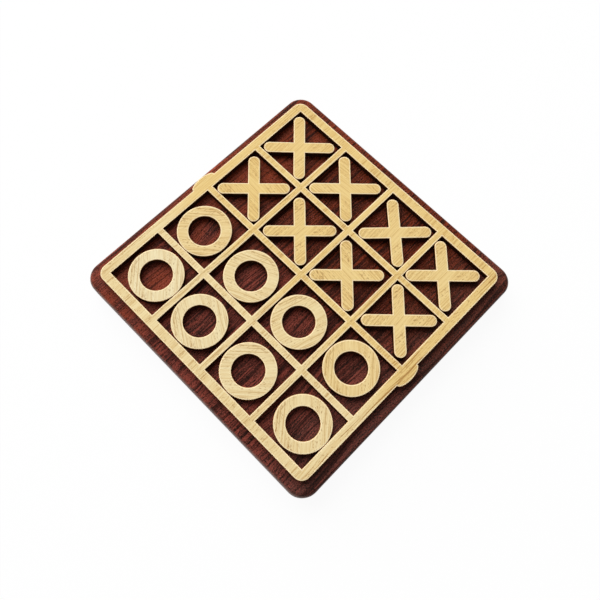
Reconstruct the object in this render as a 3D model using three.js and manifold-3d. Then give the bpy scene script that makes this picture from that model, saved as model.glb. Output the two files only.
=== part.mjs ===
// A wooden noughts and crosses set on a board of four by four cells: a dark base board, a pale grid that
// lifts off two locating dowels, and loose flat noughts and crosses that lie in the cells of the grid.
// Millimetres, +Z up. The origin is the middle of the underside of the base board.

import * as THREE from "three";
import { mergeVertices } from "three/addons/utils/BufferGeometryUtils.js";
import Module from "manifold-3d";

// Playing grid
const cellsAcross = 4;
const cellSide = 30;
const barWidth = 3.5;
const borderWidth = 5;
const gridThickness = 4;
const gridCornerRadius = 5;
const tabWidth = 14.4;
const tabReach = 2.75;
const gridShift = 0.6; // from the middle of the base board to the middle of the grid, towards +Y

// Base board
const baseMargin = 5.95; // board that would show on each side of a grid in the middle
const baseThickness = 12;
const baseCornerRadius = 8.8;
const baseTopRound = 2.2;
const baseFootRound = 1.5;

// Loose playing pieces
const pieceThickness = 4;
const noughtClearance = 1.3; // to the cell's walls, with the nought in the middle of its cell
const noughtRingWidth = 5.75;
const crossClearance = 1.05; // to the cell's walls, with the cross in the middle of its cell
const armWidth = 6.1;
const leastWallGap = 0.1; // what is left to the wall when a piece lies at the end of its play

// Locating dowels
const dowelDiameter = 3;
const dowelEndChamfer = 0.4;
const dowelSideClearance = 0.15;
const dowelEndClearance = 0.3;
const woodAboveDowel = 1.4;
const woodBelowDowel = 4;

// Broken edges of the grid and of the pieces
const edgeEase = 0.35;

// How far a cut runs on past the face that it opens
const cutPast = 1;

// Most of a corner's radius that the round along its edge may take up
const roundShareOfCorner = 0.9;

// Corners of a geometry that lie closer than this are one corner
const sameCorner = 1e-4;

// Facets
const cornerFacets = 4;
const roundFacets = 5;
const armEndFacets = 5;
const ringFacets = 40;
const dowelFacets = 20;

// How each piece has come to lie in its cell: the lean towards +X and towards +Y, as shares of its free
// play, and the turn in degrees. Rows run from the far side of the board, columns from the left.
const lie = [
  [lying(-0.1, -1), lying(-1, -0.2), lying(-1, -0.5, 0.4), lying(-1, 0.2, -0.5)],
  [lying(-0.8, 0.4), lying(-1, -0.1), lying(-0.9, 0.1, 0.6), lying(-0.9, 0.5)],
  [lying(-0.9, 0.4), lying(-0.9, 0.5), lying(-1, 0.9, -0.1), lying(-1, -0.9, 1.8)],
  [lying(-0.3, -1), lying(0.4, 0.8), lying(0.3, 0.8, -0.4), lying(-0.8, 0.9)],
];

function lying(x, y, turn = 0) {
  return { x, y, turn };
}

// Sizes that follow from the ones above
const cellPitch = cellSide + barWidth;
const gridSide = cellsAcross * cellSide + (cellsAcross - 1) * barWidth + 2 * borderWidth;
const baseSide = gridSide + 2 * baseMargin;
const noughtRadius = cellSide / 2 - noughtClearance;
const crossHalfBox = cellSide / 2 - crossClearance;
const tipDistance = (crossHalfBox - armWidth / 2) * Math.SQRT2; // from the middle to an arm's round end
const dowelPlace = gridSide / 2 - borderWidth / 2;
const dowelHoleRadius = dowelDiameter / 2 + dowelSideClearance;
const gridHoleDepth = gridThickness - woodAboveDowel;
const baseHoleDepth = baseThickness - woodBelowDowel;
const dowelLength = baseHoleDepth + gridHoleDepth - dowelEndClearance;

// Finishes
const darkWood = { color: 0x5e2f26, roughness: 0.4, metalness: 0 };
const paleWood = { color: 0xe5c78c, roughness: 0.6, metalness: 0 };
const paleRingWood = { color: 0xe7d09c, roughness: 0.6, metalness: 0 };
const paleCrossWood = { color: 0xe6c787, roughness: 0.6, metalness: 0 };
const dowelWood = { color: 0xd9b98a, roughness: 0.7, metalness: 0 };

const wasm = await Module();
wasm.setup();

// A closed geometry as a solid that can be cut and joined.
function solidOf(geometry) {
  const bare = geometry.clone();
  bare.deleteAttribute("normal");
  bare.deleteAttribute("uv");
  const merged = mergeVertices(bare, sameCorner);
  const mesh = new wasm.Mesh({
    numProp: 3,
    vertProperties: merged.attributes.position.array,
    triVerts: new Uint32Array(merged.index.array),
  });
  return new wasm.Manifold(mesh);
}

function geometryOf(solid) {
  const mesh = solid.getMesh();
  const geometry = new THREE.BufferGeometry();
  geometry.setAttribute("position", new THREE.BufferAttribute(mesh.vertProperties, 3));
  geometry.setIndex(new THREE.BufferAttribute(mesh.triVerts, 1));
  geometry.computeVertexNormals();
  return geometry;
}

function pieceOf(name, geometry, finish) {
  const piece = new THREE.Mesh(geometry, new THREE.MeshStandardMaterial(finish));
  piece.name = name;
  return piece;
}

// A flat plate from z = 0 up, with its edges rounded or broken inside the outline.
function easedPlate(outline, thickness, ease, easeSegments, curveSegments) {
  const plate = new THREE.ExtrudeGeometry(outline, {
    depth: thickness - 2 * ease,
    bevelEnabled: true,
    bevelThickness: ease,
    bevelSize: ease,
    bevelOffset: -ease,
    bevelSegments: easeSegments,
    curveSegments,
  });
  return plate.translate(0, 0, ease);
}

function roundedSquare(side, radius) {
  const inner = side / 2 - radius;
  const outline = new THREE.Shape();
  outline.absarc(inner, -inner, radius, -Math.PI / 2, 0);
  outline.absarc(inner, inner, radius, 0, Math.PI / 2);
  outline.absarc(-inner, inner, radius, Math.PI / 2, Math.PI);
  outline.absarc(-inner, -inner, radius, Math.PI, 1.5 * Math.PI);
  return outline;
}

// What is cut away for a dowel, from one height to another.
function dowelCut(y, fromZ, toZ) {
  const cut = new THREE.CylinderGeometry(dowelHoleRadius, dowelHoleRadius, toZ - fromZ, dowelFacets);
  cut.rotateX(Math.PI / 2);
  cut.translate(0, y, (fromZ + toZ) / 2);
  return solidOf(cut);
}

// The board has one round along its top edge and a smaller one along its foot, so it is what two
// blocks share: one that runs on below it, and one that runs on above it.
function baseBoard() {
  const outline = roundedSquare(baseSide, baseCornerRadius);
  const topRound = Math.min(baseTopRound, roundShareOfCorner * baseCornerRadius);
  const footRound = Math.min(baseFootRound, roundShareOfCorner * baseCornerRadius);
  const tall = 2 * baseThickness + 2 * topRound;
  const topBlock = easedPlate(outline, tall, topRound, roundFacets, cornerFacets);
  topBlock.translate(0, 0, baseThickness - tall);
  const footBlock = easedPlate(outline, tall, footRound, roundFacets, cornerFacets);
  let board = solidOf(topBlock).intersect(solidOf(footBlock));
  for (const side of [1, -1]) {
    const place = side * dowelPlace + gridShift;
    board = board.subtract(dowelCut(place, woodBelowDowel, baseThickness + cutPast));
  }
  return pieceOf("base_board", geometryOf(board), darkWood);
}

function cellCentre(index) {
  return (index - (cellsAcross - 1) / 2) * cellPitch;
}

function gridOutline() {
  const side = gridSide / 2;
  const inner = side - gridCornerRadius;
  const outline = new THREE.Shape();
  outline.absarc(inner, -inner, gridCornerRadius, -Math.PI / 2, 0);
  outline.absarc(inner, inner, gridCornerRadius, 0, Math.PI / 2);
  outline.absellipse(0, side, tabWidth / 2, tabReach, 0, Math.PI);
  outline.absarc(-inner, inner, gridCornerRadius, Math.PI / 2, Math.PI);
  outline.absarc(-inner, -inner, gridCornerRadius, Math.PI, 1.5 * Math.PI);
  outline.absellipse(0, -side, tabWidth / 2, tabReach, Math.PI, 2 * Math.PI);
  return outline;
}

// What is cut away for one cell: a square prism that widens at both faces of the grid, to break its edges.
function cellCut(x, y) {
  const half = cellSide / 2;
  const mouth = half + edgeEase + cutPast;
  const section = [
    [0, -cutPast],
    [mouth, -cutPast],
    [half, edgeEase],
    [half, gridThickness - edgeEase],
    [mouth, gridThickness + cutPast],
    [0, gridThickness + cutPast],
  ];
  const corners = section.map(([reach, z]) => new THREE.Vector2(reach * Math.SQRT2, z));
  const cut = new THREE.LatheGeometry(corners, 4, Math.PI / 4);
  cut.rotateX(Math.PI / 2);
  cut.translate(x, y, 0);
  return solidOf(cut);
}

function playingGrid() {
  let grid = solidOf(easedPlate(gridOutline(), gridThickness, edgeEase, 1, cornerFacets));
  for (let row = 0; row < cellsAcross; row += 1) {
    for (let column = 0; column < cellsAcross; column += 1) {
      grid = grid.subtract(cellCut(cellCentre(column), cellCentre(row)));
    }
  }
  for (const side of [1, -1]) {
    grid = grid.subtract(dowelCut(side * dowelPlace, -cutPast, gridHoleDepth));
  }
  return pieceOf("playing_grid", geometryOf(grid), paleWood);
}

// A ring with broken edges, turned about Z.
function nought(name) {
  const outer = noughtRadius;
  const inner = noughtRadius - noughtRingWidth;
  const top = pieceThickness;
  const section = [
    [outer - edgeEase, 0],
    [outer, edgeEase],
    [outer, top - edgeEase],
    [outer - edgeEase, top],
    [inner + edgeEase, top],
    [inner, top - edgeEase],
    [inner, edgeEase],
    [inner + edgeEase, 0],
    [outer - edgeEase, 0],
  ];
  const ring = new THREE.LatheGeometry(section.map(([r, z]) => new THREE.Vector2(r, z)), ringFacets);
  return pieceOf(name, ring.rotateX(Math.PI / 2), paleRingWood);
}

// Two arms across the diagonals of the cell, with round ends.
function cross(name) {
  const reach = armWidth / 2;
  const notch = reach * Math.SQRT2;
  const outline = new THREE.Shape();
  for (let arm = 0; arm < 4; arm += 1) {
    const along = ((arm + 0.5) * Math.PI) / 2;
    const between = ((arm + 1) * Math.PI) / 2;
    const tipX = tipDistance * Math.cos(along);
    const tipY = tipDistance * Math.sin(along);
    outline.absarc(tipX, tipY, reach, along - Math.PI / 2, along + Math.PI / 2);
    outline.lineTo(notch * Math.cos(between), notch * Math.sin(between));
  }
  return pieceOf(name, easedPlate(outline, pieceThickness, edgeEase, 1, armEndFacets), paleCrossWood);
}

// How far a cross reaches from its middle along X or Y, when it is turned.
function turnedCrossReach(turn) {
  return tipDistance * Math.cos(Math.PI / 4 - Math.abs(turn)) + armWidth / 2;
}

function dowel(name) {
  const radius = dowelDiameter / 2;
  const section = [
    [0, 0],
    [radius - dowelEndChamfer, 0],
    [radius, dowelEndChamfer],
    [radius, dowelLength - dowelEndChamfer],
    [radius - dowelEndChamfer, dowelLength],
    [0, dowelLength],
  ];
  const pin = new THREE.LatheGeometry(section.map(([r, z]) => new THREE.Vector2(r, z)), dowelFacets);
  return pieceOf(name, pin.rotateX(Math.PI / 2), dowelWood);
}

// Lays a piece in a cell, leaning and turned as it has come to lie.
function layInCell(piece, row, column, reach, placing) {
  const play = Math.max(0, cellSide / 2 - reach - leastWallGap);
  piece.position.x = cellCentre(column) + placing.x * play;
  piece.position.y = cellCentre(cellsAcross - 1 - row) + placing.y * play;
  piece.rotation.z = THREE.MathUtils.degToRad(placing.turn);
  return piece;
}

const board = new THREE.Group();
board.add(baseBoard());

const dowels = new THREE.Group();
dowels.position.set(0, gridShift, woodBelowDowel);
const farDowel = dowel("far_dowel");
const nearDowel = dowel("near_dowel");
farDowel.position.y = dowelPlace;
nearDowel.position.y = -dowelPlace;
dowels.add(farDowel, nearDowel);
board.add(dowels);

const onBoard = new THREE.Group();
onBoard.position.set(0, gridShift, baseThickness);
onBoard.add(playingGrid());
const counts = { nought: 0, cross: 0 };
for (let row = 0; row < cellsAcross; row += 1) {
  for (let column = 0; column < cellsAcross; column += 1) {
    const lieRow = lie[row % lie.length];
    const placing = lieRow[column % lieRow.length];
    if (column < cellsAcross / 2) {
      counts.nought += 1;
      onBoard.add(layInCell(nought(`nought_${counts.nought}`), row, column, noughtRadius, placing));
    } else {
      counts.cross += 1;
      const reach = turnedCrossReach(THREE.MathUtils.degToRad(placing.turn));
      onBoard.add(layInCell(cross(`cross_${counts.cross}`), row, column, reach, placing));
    }
  }
}
board.add(onBoard);

export default board;
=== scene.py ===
import math
import bmesh
import bpy
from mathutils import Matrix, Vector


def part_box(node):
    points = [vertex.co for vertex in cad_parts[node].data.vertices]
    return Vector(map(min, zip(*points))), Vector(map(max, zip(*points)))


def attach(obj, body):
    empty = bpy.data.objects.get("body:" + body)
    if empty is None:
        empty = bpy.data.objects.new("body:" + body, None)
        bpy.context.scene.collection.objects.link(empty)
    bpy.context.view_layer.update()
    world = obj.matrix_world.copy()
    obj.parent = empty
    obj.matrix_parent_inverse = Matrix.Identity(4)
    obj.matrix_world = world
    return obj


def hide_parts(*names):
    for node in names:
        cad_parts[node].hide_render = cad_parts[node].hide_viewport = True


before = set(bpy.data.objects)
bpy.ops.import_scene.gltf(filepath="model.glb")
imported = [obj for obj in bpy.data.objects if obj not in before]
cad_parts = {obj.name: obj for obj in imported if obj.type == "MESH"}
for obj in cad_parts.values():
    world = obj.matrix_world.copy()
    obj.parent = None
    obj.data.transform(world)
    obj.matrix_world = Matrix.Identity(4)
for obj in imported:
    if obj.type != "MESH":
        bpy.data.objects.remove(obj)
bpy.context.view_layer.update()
scene = bpy.context.scene
scene.view_settings.view_transform = "Standard"
mm = 0.001
hair = 1e-6  # metres; two places closer than this are one place
sharpTurn = math.radians(40)  # faces that meet more steeply than this keep a crisp edge
levelNormal = 0.999  # least upward part of a level face's normal
uprightNormal = 0.01  # most upward part of an upright face's normal
print("frame loaded:", len(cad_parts), "nodes")


# Mesh helpers

def leaveSelection():
    if bpy.context.object and bpy.context.object.mode != "OBJECT":
        bpy.ops.object.mode_set(mode="OBJECT")
    bpy.ops.object.select_all(action="DESELECT")


def choose(piece):
    leaveSelection()
    bpy.context.view_layer.objects.active = piece
    piece.select_set(True)


def settle():
    # the object goes to the origin, with its place and turn in its mesh
    bpy.ops.object.transform_apply(location=True, rotation=True, scale=True)


def startShaping():
    settle()
    bpy.ops.object.mode_set(mode="EDIT")
    return bpy.context.object


def pick(kind, wanted):
    # selects the vertices, edges or faces of the mesh in edit mode that pass the test
    bpy.ops.mesh.select_mode(type=kind)
    bpy.ops.mesh.select_all(action="DESELECT")
    data = bpy.context.object.data
    mesh = bmesh.from_edit_mesh(data)
    mesh.normal_update()
    for part in {"VERT": mesh.verts, "EDGE": mesh.edges, "FACE": mesh.faces}[kind]:
        if wanted(part):
            part.select_set(True)
    mesh.select_flush_mode()
    bmesh.update_edit_mesh(data)


def weld():
    bpy.ops.mesh.select_all(action="SELECT")
    bpy.ops.mesh.remove_doubles(threshold=hair)


def near(first, second):
    return abs(first - second) < hair


def levelEdge(edge, height):
    return all(near(corner.co.z, height) for corner in edge.verts)


def foldedEdge(edge):
    return len(edge.link_faces) == 2 and edge.calc_face_angle(0) > sharpTurn


def evenShading(piece):
    choose(piece)
    bpy.ops.object.shade_smooth_by_angle(angle=sharpTurn)
    even = piece.modifiers.new("even", "WEIGHTED_NORMAL")
    even.keep_sharp = True
    even.weight = 100  # the big flat faces decide
    bpy.ops.object.modifier_apply(modifier=even.name)


def install(piece, name, finish, node, body):
    piece.name = name
    piece.data.name = name
    piece.data.materials.clear()
    piece.data.materials.append(finish)
    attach(piece, body)
    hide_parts(node)


# Holes that the dowels stand in, in the base and in the grid

dowelHole = {
    "radius": 1.65 * mm,
    "sides": 40,
    "overrun": 2 * mm,  # how far the bit reaches out of the wood
}


def drill(piece, y, fromZ, toZ):
    leaveSelection()
    bpy.ops.mesh.primitive_cylinder_add(vertices=dowelHole["sides"], radius=dowelHole["radius"],
                                        depth=toZ - fromZ, location=(0, y, (fromZ + toZ) / 2))
    bit = bpy.context.object
    choose(piece)
    hole = piece.modifiers.new("hole", "BOOLEAN")
    hole.operation = "DIFFERENCE"
    hole.solver = "EXACT"
    hole.object = bit
    bpy.ops.object.modifier_apply(modifier=hole.name)
    bpy.data.objects.remove(bit)


# Sheet that the grid, the noughts and the crosses are cut from

sheet = {
    "thick": 4 * mm,
    "ease": 0.25 * mm,
    "easeSteps": 3,
    "rimWidth": 0.5 * mm,
}


def raisePlate(low):
    # a flat outline becomes a closed plate with eased edges
    high = low + sheet["thick"]
    bpy.ops.mesh.select_all(action="SELECT")
    bpy.ops.mesh.extrude_region_move(TRANSFORM_OT_translate={"value": (0, 0, sheet["thick"])})
    weld()
    bpy.ops.mesh.normals_make_consistent(inside=False)
    pick("EDGE", lambda edge: foldedEdge(edge) and (levelEdge(edge, low) or levelEdge(edge, high)))
    bpy.ops.mesh.bevel(offset=sheet["ease"], segments=sheet["easeSteps"], affect="EDGES")
    # and a narrow strip of faces along every edge of the top, for the painted highlight along the rim
    pick("FACE", lambda face: face.normal.z > levelNormal and near(face.calc_center_median().z, high))
    bpy.ops.mesh.inset(thickness=sheet["rimWidth"], depth=0, use_boundary=True)


def markRim(piece):
    # 1 along the edges of the top, falling to 0 across the strip inside them: where the painted highlight
    # goes
    data = piece.data
    onEdge = [0.0] * len(data.vertices)
    for face in data.polygons:
        if face.normal.z < levelNormal:
            for corner in face.vertices:
                onEdge[corner] = 1.0
    rimHighlight = data.attributes.new("rimHighlight", "FLOAT", "POINT")
    rimHighlight.data.foreach_set("value", onEdge)


# Shader helpers

coatRoughness = 0.3
noiseMiddle = 0.5  # what a noise comes to on average
grainWander = {"scale": (0.03, 0.05, 0.05), "detail": 1.0}  # repeats a millimetre


def paint(red, green, blue):
    # a colour as a picker shows it, 0 to 255, taken off the sRGB curve
    shares = [level / 255 for level in (red, green, blue)]
    linear = [s / 12.92 if s <= 0.04045 else ((s + 0.055) / 1.055) ** 2.4 for s in shares]
    return (*linear, 1.0)


def feed(tree, socket, value):
    if isinstance(value, Level):
        tree.links.new(value.socket, socket)
    else:
        socket.default_value = value


class Level:
    # a node's output that can stand in a sum
    def __init__(self, tree, socket):
        self.tree = tree
        self.socket = socket

    def work(self, operation, first, second):
        node = self.tree.nodes.new("ShaderNodeMath")
        node.operation = operation
        feed(self.tree, node.inputs[0], first)
        feed(self.tree, node.inputs[1], second)
        return Level(self.tree, node.outputs[0])

    def __add__(self, other):
        return self.work("ADD", self, other)

    def __radd__(self, other):
        return self.work("ADD", other, self)

    def __sub__(self, other):
        return self.work("SUBTRACT", self, other)

    def __rsub__(self, other):
        return self.work("SUBTRACT", other, self)

    def __mul__(self, other):
        return self.work("MULTIPLY", self, other)

    def __rmul__(self, other):
        return self.work("MULTIPLY", other, self)

    def __abs__(self):
        return self.work("ABSOLUTE", self, 0.0)


class Finish:
    # the nodes of a material, or of the world
    def __init__(self, name, owner=None):
        self.owner = owner or bpy.data.materials.new(name)
        self.owner.use_nodes = True
        self.tree = self.owner.node_tree
        self.tree.nodes.clear()

    def add(self, kind, settings, sockets, out=0):
        node = self.tree.nodes.new("ShaderNode" + kind)
        for name, value in settings.items():
            setattr(node, name, value)
        for name, value in sockets.items():
            feed(self.tree, node.inputs[name], value)
        return Level(self.tree, node.outputs[out]) if node.outputs else node

    def part(self, vector, axis):
        # axis 0, 1 or 2 for x, y or z
        return self.add("SeparateXYZ", {}, {"Vector": vector}, axis)

    def stretch(self, vector, scale):
        return self.add("VectorMath", {"operation": "MULTIPLY"}, {0: vector, 1: scale})

    def noise(self, vector, scale, detail=2.0, roughness=0.5):
        return self.add("TexNoise", {}, {"Vector": self.stretch(vector, scale), "Scale": 1.0,
                                         "Detail": detail, "Roughness": roughness})

    def step(self, level, span):
        # 0 at the start of the span, going smoothly to 1 at its end
        return self.add("MapRange", {"interpolation_type": "SMOOTHSTEP"},
                        {"Value": level, "From Min": span[0], "From Max": span[1]})

    def blend(self, amount, first, second):
        # a Mix node's colours go in at 6 and 7 and come out at 2
        return self.add("Mix", {"data_type": "RGBA"}, {0: amount, 6: first, 7: second}, 2)

    def grain(self, centre, turn, swing):
        # millimetres along, across and through the grain, which wanders a little sideways
        place = self.add("TexCoord", {}, {}, "Object")
        lined = self.add("Mapping", {"vector_type": "TEXTURE"},
                         {"Vector": place, "Location": centre, "Rotation": (0, 0, math.radians(turn)),
                          "Scale": (mm, mm, mm)})
        wander = self.noise(lined, **grainWander) - noiseMiddle
        along, across, through = [self.part(lined, axis) for axis in range(3)]
        return self.add("CombineXYZ", {}, {"X": along, "Y": across + wander * swing, "Z": through})

    def rings(self, grain, pith):
        # along the grain, and out from the middle of the tree the board was cut from
        away = self.add("VectorMath", {"operation": "SUBTRACT"}, {0: grain, 1: pith})
        sideways = self.stretch(away, (0, 1, 1))
        out = self.add("VectorMath", {"operation": "LENGTH"}, {0: sideways}, "Value")
        return self.add("CombineXYZ", {}, {"X": self.part(grain, 0), "Y": out})

    def facing(self, axis):
        # how far the surface faces along x, y or z, either way
        return abs(self.part(self.add("TexCoord", {}, {}, "Normal"), axis))

    def surface(self, colour, roughness, height, depth, gloss, coat=0.0):
        bump = self.add("Bump", {}, {"Height": height, "Strength": 1.0, "Distance": depth})
        shine = self.add("BsdfPrincipled", {}, {"Base Color": colour, "Roughness": roughness, "Normal": bump,
                                                "Specular IOR Level": gloss, "Coat Weight": coat,
                                                "Coat Roughness": coatRoughness})
        self.add("OutputMaterial", {}, {"Surface": shine})
        return self.owner


# Pale wood of the grid, the noughts and the crosses, with browned cut walls

paleLook = {
    "tones": {
        "cream": paint(248, 235, 195),
        "gold": paint(243, 215, 149),
        "creamFibre": paint(234, 211, 160),
        "goldFibre": paint(227, 191, 122),
        "streak": paint(160, 108, 50),
        # painted highlight, lightening the strip along the top's edges
        "rimHighlight": paint(255, 238, 197),
        "toast": paint(226, 164, 92),
        "scorch": paint(42, 20, 11),
        "scorchPale": paint(72, 36, 20),
    },
    "noises": {  # scale is repeats a millimetre along, across and through the grain
        "bands": {"scale": (0.012, 0.3, 0.3)},
        "fibres": {"scale": (0.05, 1.6, 1.6), "roughness": 0.6},
        "streaks": {"scale": (0.05, 1.6, 1.6), "detail": 1.0},
        "dashes": {"scale": (0.7, 2.4, 2.4), "detail": 1.0},
        "burns": {"scale": (1500, 1500, 120)},  # on the walls, repeats a metre
    },
    "spans": {  # the levels between which each effect sets in
        "fibres": (0.34, 0.68),
        "streaks": (0.58, 0.68),
        "streakBands": (0.35, 0.6),
        "dashes": (0.58, 0.68),
        "dashBands": (0.3, 0.65),
        "rimHighlight": (0, 0.8),
        "burns": (0.4, 0.75),
        "toast": (0.98, 0.82),  # by how far the surface faces up or down
        "wall": (0.45, 0.1),
    },
    "shares": {"fibres": 0.75, "bands": 0.25, "streaks": 0.55, "dashes": 0.7, "rimHighlight": 0.85},
    "roughness": {"plain": 0.56, "dashes": 0.14, "wall": 0.25},
    "fibreHeight": 0.4,
    "bump": 0.02 * mm,
    "gloss": 0.05,
    "swing": 4.0,  # millimetres that the grain wanders
}


def paleBlend(first, second, share):
    tones = paleLook["tones"]
    return tuple(a + (b - a) * share for a, b in zip(tones[first], tones[second]))


def paleWood(name, centre, turn, warmth, figure, sap=None, heart=None):
    tones, noises, spans, shares = [paleLook[kind] for kind in ("tones", "noises", "spans", "shares")]
    wood = Finish(name)
    grain = wood.grain(centre, turn, paleLook["swing"])
    bands = wood.noise(grain, **noises["bands"])
    fibres = wood.noise(grain, **noises["fibres"])
    streaks = wood.noise(grain, **noises["streaks"])
    dashes = wood.noise(grain, **noises["dashes"])
    burns = wood.noise(wood.add("TexCoord", {}, {}, "Object"), **noises["burns"])

    lightTone = paleBlend("cream", "gold", warmth)
    fibreTone = paleBlend("creamFibre", "goldFibre", warmth)
    if sap:  # the sheet is paler towards one end of its grain
        paler = wood.step(wood.part(grain, 0), sap["span"])
        lightTone = wood.blend(paler, lightTone, paleBlend("cream", "gold", sap["warmth"]))
        fibreTone = wood.blend(paler, fibreTone, paleBlend("creamFibre", "goldFibre", sap["warmth"]))
    streakShare = figure * shares["streaks"]
    if heart:  # and more streaked along one side
        streakShare = streakShare + wood.step(wood.part(grain, 1), heart["span"]) * heart["streaks"]
    fibred = wood.step(fibres * shares["fibres"] + bands * shares["bands"], spans["fibres"])
    streaked = wood.step(streaks, spans["streaks"]) * wood.step(bands, spans["streakBands"])
    dashed = wood.step(dashes, spans["dashes"]) * wood.step(bands, spans["dashBands"])
    body = wood.blend(fibred, lightTone, fibreTone)
    body = wood.blend(streaked * streakShare, body, tones["streak"])
    body = wood.blend(dashed * (figure * shares["dashes"]), body, tones["streak"])

    # a painted highlight along the rim of the top, the eased edge toasted and the wall burnt dark
    rimHighlight = wood.add("Attribute", {"attribute_name": "rimHighlight"}, {}, "Fac")
    facing = wood.facing(2)
    wall = wood.step(facing, spans["wall"])
    scorch = wood.blend(wood.step(burns, spans["burns"]), tones["scorch"], tones["scorchPale"])
    # painted highlight: the strip along the top's edges is lightened
    body = wood.blend(wood.step(rimHighlight, spans["rimHighlight"]) * shares["rimHighlight"], body, tones["rimHighlight"])
    body = wood.blend(wood.step(facing, spans["toast"]), body, tones["toast"])
    body = wood.blend(wall, body, scorch)

    rough = paleLook["roughness"]
    roughness = rough["plain"] + dashed * rough["dashes"] + wall * rough["wall"]
    height = fibres * paleLook["fibreHeight"] - dashed
    return wood.surface(body, roughness, height, paleLook["bump"], paleLook["gloss"])


# Base board: a square block with its corners and its edges rounded over

base = {
    "side": 152.4 * mm,
    "thick": 12 * mm,
    "corner": 8.8 * mm,
    "cornerSteps": 20,
    "topRound": 2.2 * mm,
    "topSteps": 8,
    "footRound": 1.5 * mm,
    "footSteps": 5,
    "holeFrom": 4 * mm,
    "holePlaces": (68.35 * mm, -67.15 * mm),
}


def makeBase():
    side, thick = base["side"], base["thick"]
    leaveSelection()
    bpy.ops.mesh.primitive_cube_add(size=1, location=(0, 0, thick / 2), scale=(side, side, thick))
    piece = startShaping()
    pick("EDGE", lambda edge: not near(edge.verts[0].co.z, edge.verts[1].co.z))
    bpy.ops.mesh.bevel(offset=base["corner"], segments=base["cornerSteps"], affect="EDGES")
    pick("EDGE", lambda edge: levelEdge(edge, thick))
    bpy.ops.mesh.bevel(offset=base["topRound"], segments=base["topSteps"], affect="EDGES")
    pick("EDGE", lambda edge: levelEdge(edge, 0))
    bpy.ops.mesh.bevel(offset=base["footRound"], segments=base["footSteps"], affect="EDGES")
    for place in base["holePlaces"]:
        drill(piece, place, base["holeFrom"], thick + dowelHole["overrun"])
    evenShading(piece)
    return piece


darkLook = {
    "tones": {
        # brown and red, on the left, carry a painted sheen that greys and lifts them; umber and rust, on the
        # right, carry none
        "brown": paint(62, 34, 27),
        "umber": paint(56, 26, 13),
        "red": paint(146, 69, 56),
        "rust": paint(132, 54, 28),
        "orange": paint(150, 64, 36),
        "fleck": paint(164, 84, 72),
        # painted sheen and cool shade tint for the shaded near side
        "sheenGrey": paint(88, 66, 60),
        "black": paint(14, 8, 6),
        # painted reflection of the pale floor on the rounded ends
        "edgeReflection": paint(190, 164, 152),
    },
    "noises": {  # scale is repeats a millimetre
        "zones": {"scale": (0.03, 0.16, 1.0)},  # along and across the rings
        "lines": {"scale": (0.008, 0.36, 1.0), "detail": 1.0},
        "fibres": {"scale": (0.06, 1.4, 1.4), "detail": 3.0, "roughness": 0.75},  # along, across, through
        "flecks": {"scale": (1.3, 2.6, 2.6), "detail": 1.0},
    },
    "spans": {  # the levels between which each effect sets in
        "fibres": (0.4, 0.6),
        "orange": (0.3, 0.6),
        "flecks": (0.42, 0.34),
        "pores": (0.58, 0.66),
        "lines": (0.05, 0.01),
        "right": (-30, 30),  # millimetres from the middle of the board
        "far": (15, 50),
        "farEnd": (77, 73),
        "near": (-35, -72),
        "endGrain": (0.6, 0.95),  # by how far the surface faces along the grain
        "reflectionEnd": (0.05, 0.6),
        "edge": (0.85, 0.3),  # by how far it faces up or down
        "reflectionTop": (0.98, 0.5),
        "reflectionFoot": (0.02, 0.35),
    },
    "shares": {
        "fibres": 0.85,
        "zones": 0.15,
        "orange": 0.6,
        "sheenGrey": 0.5,
        "flecks": 0.65,
        "lines": 0.65,
        "pores": 0.95,
        "poresLostOnEdge": 0.45,
        "endGrain": 0.5,
        "edgeReflection": 0.3,
    },
    "heights": {"fibres": 0.3, "lines": 0.5},
    "bump": 0.02 * mm,
    "roughness": 0.45,
    "poreRoughness": 0.2,
    "gloss": 0.04,
    "edgeCoat": 0.45,
    "swing": 6.0,  # millimetres that the grain wanders
    "pith": (0, -190, -110),  # millimetres from the middle of the board to that of the tree
}


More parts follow.
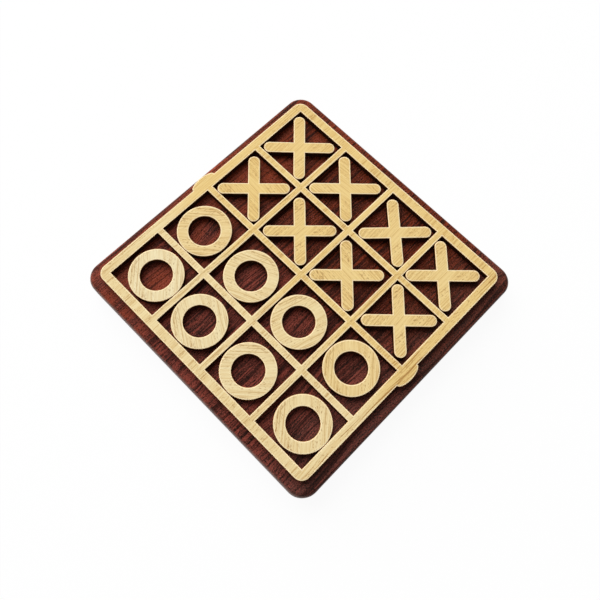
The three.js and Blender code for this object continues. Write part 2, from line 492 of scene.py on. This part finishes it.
def darkWood():
    tones, noises, spans, shares = [darkLook[kind] for kind in ("tones", "noises", "spans", "shares")]
    wood = Finish("darkRedWood")
    grain = wood.grain((0, 0, 0), 0, darkLook["swing"])
    rings = wood.rings(grain, darkLook["pith"])
    zones = wood.noise(rings, **noises["zones"])
    lines = wood.noise(rings, **noises["lines"])
    fibres = wood.noise(grain, **noises["fibres"])
    flecks = wood.noise(grain, **noises["flecks"])
    along, across = wood.part(grain, 0), wood.part(grain, 1)
    endOn, upward = wood.facing(0), wood.facing(2)

    # warmer to the right, where a painted sheen greys and lifts the left half; orange along the far side;
    # and a painted sheen and cool shade tint grey the near side
    # painted sheen: the left half is greyer and paler than the right
    right = wood.step(along, spans["right"])
    far = wood.step(across, spans["far"]) * wood.step(across, spans["farEnd"])
    deep = wood.blend(right, tones["brown"], tones["umber"])
    light = wood.blend(right, tones["red"], tones["rust"])
    fibred = wood.step(fibres * shares["fibres"] + zones * shares["zones"], spans["fibres"])
    body = wood.blend(fibred, deep, light)
    body = wood.blend(far * wood.step(zones, spans["orange"]) * shares["orange"], body, tones["orange"])
    # painted sheen and cool shade tint, greying the near side
    body = wood.blend(wood.step(across, spans["near"]) * shares["sheenGrey"], body, tones["sheenGrey"])

    # pale flecks, dark growth lines and black pores, which are fainter down the sides
    edge = wood.step(upward, spans["edge"])
    lined = wood.step(abs(lines - noiseMiddle), spans["lines"])
    pored = wood.step(flecks, spans["pores"])
    poreShare = shares["pores"] - edge * shares["poresLostOnEdge"]
    body = wood.blend(wood.step(flecks, spans["flecks"]) * shares["flecks"], body, tones["fleck"])
    body = wood.blend(lined * shares["lines"], body, tones["black"])
    body = wood.blend(pored * poreShare, body, tones["black"])

    # darker end grain, and a painted pale reflection along the rounded ends
    # painted reflection: paler where the rounded edge turns down at the ends
    edgeReflection = wood.step(upward, spans["reflectionTop"]) * wood.step(upward, spans["reflectionFoot"])
    edgeReflection = edgeReflection * wood.step(endOn, spans["reflectionEnd"])
    body = wood.blend(wood.step(endOn, spans["endGrain"]) * shares["endGrain"], body, deep)
    body = wood.blend(edgeReflection * shares["edgeReflection"], body, tones["edgeReflection"])

    roughness = darkLook["roughness"] + pored * darkLook["poreRoughness"]
    height = fibres * darkLook["heights"]["fibres"] - pored - lined * darkLook["heights"]["lines"]
    return wood.surface(body, roughness, height, darkLook["bump"], darkLook["gloss"],
                        edge * darkLook["edgeCoat"])


install(makeBase(), "wood_base", darkWood(), "base_board", "base")
print("base board done")


# Playing grid: one sheet with sixteen square cells, round outer corners and two finger tabs

grid = {
    "low": 12 * mm,
    "cells": 4,
    "cellSide": 30 * mm,
    "bar": 3.5 * mm,
    "border": 5 * mm,
    "corner": 5 * mm,
    "cornerSteps": 14,
    "tabHalf": 7.2 * mm,
    "tabReach": 2.75 * mm,
    "tabSteps": 36,
    "holeDepth": 2.6 * mm,
    "holePlace": 67.75 * mm,
    "shift": 0.6 * mm,  # towards the far side, off the middle of the base
    "warmth": 1.08,
    "figure": 0.7,
    "sap": {"span": (-5, -35), "warmth": 0.52},  # millimetres from the middle, along the grain
    "heart": {"span": (-56, -66), "streaks": 0.36},  # and across it
}


def cutCells(centres):
    # scores the sheet along the sides of all the cells, then drops the cells out
    half = grid["cellSide"] / 2
    for centre in centres:
        for edge in (centre - half, centre + half):
            for normal in ((1, 0, 0), (0, 1, 0)):
                bpy.ops.mesh.select_all(action="SELECT")
                bpy.ops.mesh.bisect(plane_co=[edge * part for part in normal], plane_no=normal)

    def inCell(face):
        middle = face.calc_center_median()
        return all(min(abs(part - centre) for centre in centres) < half for part in middle.xy)

    pick("FACE", inCell)
    bpy.ops.mesh.delete(type="FACE")


def addTab(side, half):
    # a half oval in the middle of the far side, 1, or of the near side, -1
    tabHalf = grid["tabHalf"]
    middle = (0, side * half, grid["low"])
    for edge in (tabHalf, -tabHalf):
        pick("FACE", lambda face: face.calc_center_median().y * side > half - grid["border"])
        bpy.ops.mesh.bisect(plane_co=(edge, 0, 0), plane_no=(1, 0, 0))
    pick("VERT", lambda corner: near(corner.co.y, side * half) and near(corner.co.x, side * tabHalf))
    bpy.ops.mesh.spin(steps=grid["tabSteps"], angle=math.pi, center=middle, axis=(0, 0, -1))
    pick("VERT", lambda corner: corner.co.y * side > half + hair)
    bpy.ops.transform.resize(value=(1, grid["tabReach"] / tabHalf, 1), center_override=middle)
    pick("VERT", lambda corner: corner.co.y * side > half - hair and abs(corner.co.x) < tabHalf + hair)
    bpy.ops.mesh.remove_doubles(threshold=hair)
    bpy.ops.mesh.edge_face_add()


def makeGrid():
    cells, low = grid["cells"], grid["low"]
    pitch = grid["cellSide"] + grid["bar"]
    centres = [(number - (cells - 1) / 2) * pitch for number in range(cells)]
    half = centres[-1] + grid["cellSide"] / 2 + grid["border"]
    leaveSelection()
    bpy.ops.mesh.primitive_plane_add(size=2 * half, location=(0, 0, low))
    piece = startShaping()
    cutCells(centres)
    pick("VERT", lambda corner: near(abs(corner.co.x), half) and near(abs(corner.co.y), half))
    bpy.ops.mesh.bevel(offset_type="ABSOLUTE", offset=grid["corner"], segments=grid["cornerSteps"],
                       affect="VERTICES")
    for side in (1, -1):
        addTab(side, half)
    raisePlate(low)
    for side in (1, -1):
        drill(piece, side * grid["holePlace"], low - dowelHole["overrun"], low + grid["holeDepth"])
    piece.location.y = grid["shift"]
    settle()
    markRim(piece)
    evenShading(piece)
    return piece


gridFinish = paleWood("paleGridWood", (0, 0, 0), 0, grid["warmth"], grid["figure"], grid["sap"],
                      grid["heart"])
install(makeGrid(), "wood_grid", gridFinish, "playing_grid", "grid")
print("playing grid done")


# Loose pieces: each kind is modelled once and copied to its places

def layCopy(pattern, node, turn):
    # a copy with a mesh of its own, where the frame has that piece
    low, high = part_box(node)
    copy = pattern.copy()
    copy.data = pattern.data.copy()
    scene.collection.objects.link(copy)
    choose(copy)
    copy.location = ((low.x + high.x) / 2, (low.y + high.y) / 2, low.z)
    copy.rotation_euler = (0, 0, math.radians(turn))
    centre = copy.location.copy()
    settle()
    evenShading(copy)
    return copy, centre


def laySet(kind, pattern, shape):
    # the eight noughts or the eight crosses, each with its own turn and its own cut of wood
    looks = zip(shape["turns"], shape["grainTurns"], shape["warmths"], shape["figures"])
    for number, (turn, grainTurn, warmth, figure) in enumerate(looks, 1):
        node = "%s_%d" % (kind, number)
        piece, centre = layCopy(pattern, node, turn)
        finish = paleWood("pale_" + node, centre, grainTurn, warmth, figure)
        install(piece, "wood_" + node, finish, node, node)
    bpy.data.objects.remove(pattern)


# Noughts: flat rings

noughts = {
    "radius": 13.7 * mm,
    "hole": 7.95 * mm,
    "sides": 120,
    "slot": "pale_noughts",
    "turns": (0, 0, 0, 0, 0, 0, 0, 0),
    "grainTurns": (47, -46, 60, -64, -45, -15, 42, 42),
    "warmths": (0.1, 0.75, 0.25, 0.45, 0.35, 0.5, 0.45, 0.8),
    "figures": (0.8, 1.0, 0.7, 0.7, 0.8, 0.75, 0.95, 0.75),
}


def makeNought():
    shrink = noughts["hole"] / noughts["radius"]
    leaveSelection()
    bpy.ops.mesh.primitive_circle_add(vertices=noughts["sides"], radius=noughts["radius"],
                                      fill_type="NOTHING")
    piece = startShaping()
    bpy.ops.mesh.select_all(action="SELECT")
    bpy.ops.mesh.extrude_edges_move(TRANSFORM_OT_translate={"value": (0, 0, 0)})
    bpy.ops.transform.resize(value=(shrink, shrink, 1), center_override=(0, 0, 0))
    raisePlate(0)
    bpy.ops.object.mode_set(mode="OBJECT")
    markRim(piece)
    return piece


laySet("nought", makeNought(), noughts)
print("noughts done")


# Crosses: two arms with round ends

crosses = {
    "reach": 15.415 * mm,  # from the middle to where an arm's round end starts
    "armWidth": 6.1 * mm,
    "endSteps": 16,
    "slot": "pale_crosses",
    "turns": (45.4, 44.5, 45.6, 45, 44.9, 46.8, 44.6, 45),
    "grainTurns": (86, 3, -2, -86, 86, 3, 4, 0),
    "warmths": (1.1, 1.05, 1.05, 1.05, 1, 1, 0.95, 0.95),
    "figures": (0.65, 0.5, 0.9, 0.5, 1.0, 0.65, 1.0, 0.75),
}


def makeCross():
    half = crosses["armWidth"] / 2
    tip = crosses["reach"] + half
    leaveSelection()
    bpy.ops.mesh.primitive_plane_add(size=2 * half)
    piece = startShaping()
    for way in ((1, 0, 0), (-1, 0, 0), (0, 1, 0), (0, -1, 0)):
        pick("EDGE", lambda edge: all(near(corner.co.x * way[0] + corner.co.y * way[1], half)
                                      and max(abs(corner.co.x), abs(corner.co.y)) < half + hair
                                      for corner in edge.verts))
        arm = [part * (tip - half) for part in way]
        bpy.ops.mesh.extrude_edges_move(TRANSFORM_OT_translate={"value": arm})
    pick("VERT", lambda corner: near(max(abs(corner.co.x), abs(corner.co.y)), tip))
    bpy.ops.mesh.bevel(offset_type="ABSOLUTE", offset=half, segments=crosses["endSteps"], affect="VERTICES")
    weld()
    raisePlate(0)
    bpy.ops.object.mode_set(mode="OBJECT")
    markRim(piece)
    return piece


laySet("cross", makeCross(), crosses)
print("crosses done")


# Locating dowels: turned pins with chamfered ends and shallow flutes

dowels = {
    "radius": 1.5 * mm,
    "length": 10.3 * mm,
    "sides": 48,
    "chamfer": 0.4 * mm,
    "chamferSteps": 2,
    "chamferProfile": 0.6,
    "fluteEvery": 4,
    "fluteWidth": 0.03 * mm,
    "fluteDepth": 0.09 * mm,
    "lightTone": paint(224, 192, 140),
    "darkTone": paint(188, 146, 92),
    "lines": {"scale": (2600, 2600, 90)},  # repeats a metre
    "lineSpan": (0.35, 0.7),
    "roughness": 0.62,
    "lineRoughness": 0.1,
    "bump": 0.03 * mm,
    "gloss": 0.3,
}


def makeDowel():
    length = dowels["length"]
    leaveSelection()
    bpy.ops.mesh.primitive_cylinder_add(vertices=dowels["sides"], radius=dowels["radius"], depth=length,
                                        location=(0, 0, length / 2))
    piece = startShaping()
    pick("EDGE", lambda edge: levelEdge(edge, 0) or levelEdge(edge, length))
    bpy.ops.mesh.bevel(offset=dowels["chamfer"], segments=dowels["chamferSteps"],
                       profile=dowels["chamferProfile"], affect="EDGES")
    step = 2 * math.pi / dowels["sides"]

    def fluted(face):
        middle = face.calc_center_median()
        count = int(math.atan2(middle.y, middle.x) // step)
        return abs(face.normal.z) < uprightNormal and count % dowels["fluteEvery"] == 0

    pick("FACE", fluted)
    bpy.ops.mesh.inset(thickness=dowels["fluteWidth"], depth=-dowels["fluteDepth"], use_individual=True)
    bpy.ops.object.mode_set(mode="OBJECT")
    return piece


def dowelWood():
    wood = Finish("dowelWood")
    lines = wood.noise(wood.add("TexCoord", {}, {}, "Object"), **dowels["lines"])
    body = wood.blend(wood.step(lines, dowels["lineSpan"]), dowels["lightTone"], dowels["darkTone"])
    roughness = dowels["roughness"] + lines * dowels["lineRoughness"]
    return wood.surface(body, roughness, lines, dowels["bump"], dowels["gloss"])


dowelPattern = makeDowel()
dowelFinish = dowelWood()
for node in ("far_dowel", "near_dowel"):
    pin, centre = layCopy(dowelPattern, node, 0)
    install(pin, "wood_" + node, dowelFinish, node, "base")
bpy.data.objects.remove(dowelPattern)
print("dowels done")


# Floor, light and camera

stage = {
    "white": (1, 1, 1, 1),
    "floorTone": (0.9, 0.9, 0.9, 1),
    "floorSide": 8.0,
    "floorDrop": 0.2 * mm,
    "shadowShare": 0.06,
    "lampDistance": 4.0,
    "lampHeight": 35,  # degrees above the floor, over the far side of the board
    "lampTurn": 15,  # degrees from there to the right
    "lampSize": 6.0,
    "lampPower": 324,
    "fill": 0.2,
}


def seenWhite(finish):
    # 1 for what the camera sees, directly, mirrored or through something clear
    kinds = ("Is Camera Ray", "Is Glossy Ray", "Is Transmission Ray")
    seen, mirrored, through = [finish.add("LightPath", {}, {}, kind) for kind in kinds]
    return finish.step(seen + mirrored + through, (0, 1))


def makeFloor():
    leaveSelection()
    bpy.ops.mesh.primitive_plane_add(size=stage["floorSide"], location=(0, 0, -stage["floorDrop"]))
    floor = bpy.context.object
    floor.name = "floor"
    finish = Finish("paleFloor")
    plain = finish.add("BsdfDiffuse", {}, {"Color": stage["floorTone"]})
    shine = finish.add("Emission", {}, {"Color": stage["white"], "Strength": 1.0})
    white = finish.add("BsdfDiffuse", {}, {"Color": stage["white"]})
    bright = finish.add("MixShader", {}, {0: stage["shadowShare"], 1: shine, 2: white})
    both = finish.add("MixShader", {}, {0: seenWhite(finish), 1: plain, 2: bright})
    finish.add("OutputMaterial", {}, {"Surface": both})
    floor.data.materials.append(finish.owner)


def makeLight():
    height = math.radians(stage["lampHeight"])
    turn = math.radians(stage["lampTurn"])
    away = stage["lampDistance"] * math.cos(height)
    place = (away * math.sin(turn), away * math.cos(turn), stage["lampDistance"] * math.sin(height))
    bpy.ops.object.light_add(type="AREA", location=place, rotation=(height - math.pi / 2, 0, -turn))
    lamp = bpy.context.object
    lamp.name = "softLamp"
    lamp.data.shape = "DISK"
    lamp.data.size = stage["lampSize"]
    lamp.data.energy = stage["lampPower"]
    scene.world = bpy.data.worlds.new("paleRoom")
    room = Finish("paleRoom", scene.world)
    fill = room.add("Background", {}, {"Color": stage["white"], "Strength": stage["fill"]})
    white = room.add("Background", {}, {"Color": stage["white"], "Strength": 1.0})
    both = room.add("MixShader", {}, {0: seenWhite(room), 1: fill, 2: white})
    room.add("OutputWorld", {}, {"Surface": both})


view = {
    "place": (-82.96 * mm, -66.88 * mm, 308.5 * mm),
    "turn": (17.636, -2.020, -45.169),  # degrees
    "lens": 38.154,
    "sensor": 36,
    "shift": 0.5 / 600,  # half a pixel of the picture's width
    "nearest": 10 * mm,
}


def makeCamera():
    turn = [math.radians(part) for part in view["turn"]]
    bpy.ops.object.camera_add(location=view["place"], rotation=turn)
    camera = bpy.context.object
    camera.data.lens = view["lens"]
    camera.data.sensor_width = view["sensor"]
    camera.data.shift_x = -view["shift"]
    camera.data.shift_y = view["shift"]
    camera.data.clip_start = view["nearest"]
    scene.camera = camera


makeFloor()
makeLight()
makeCamera()
print("floor, light and camera done")
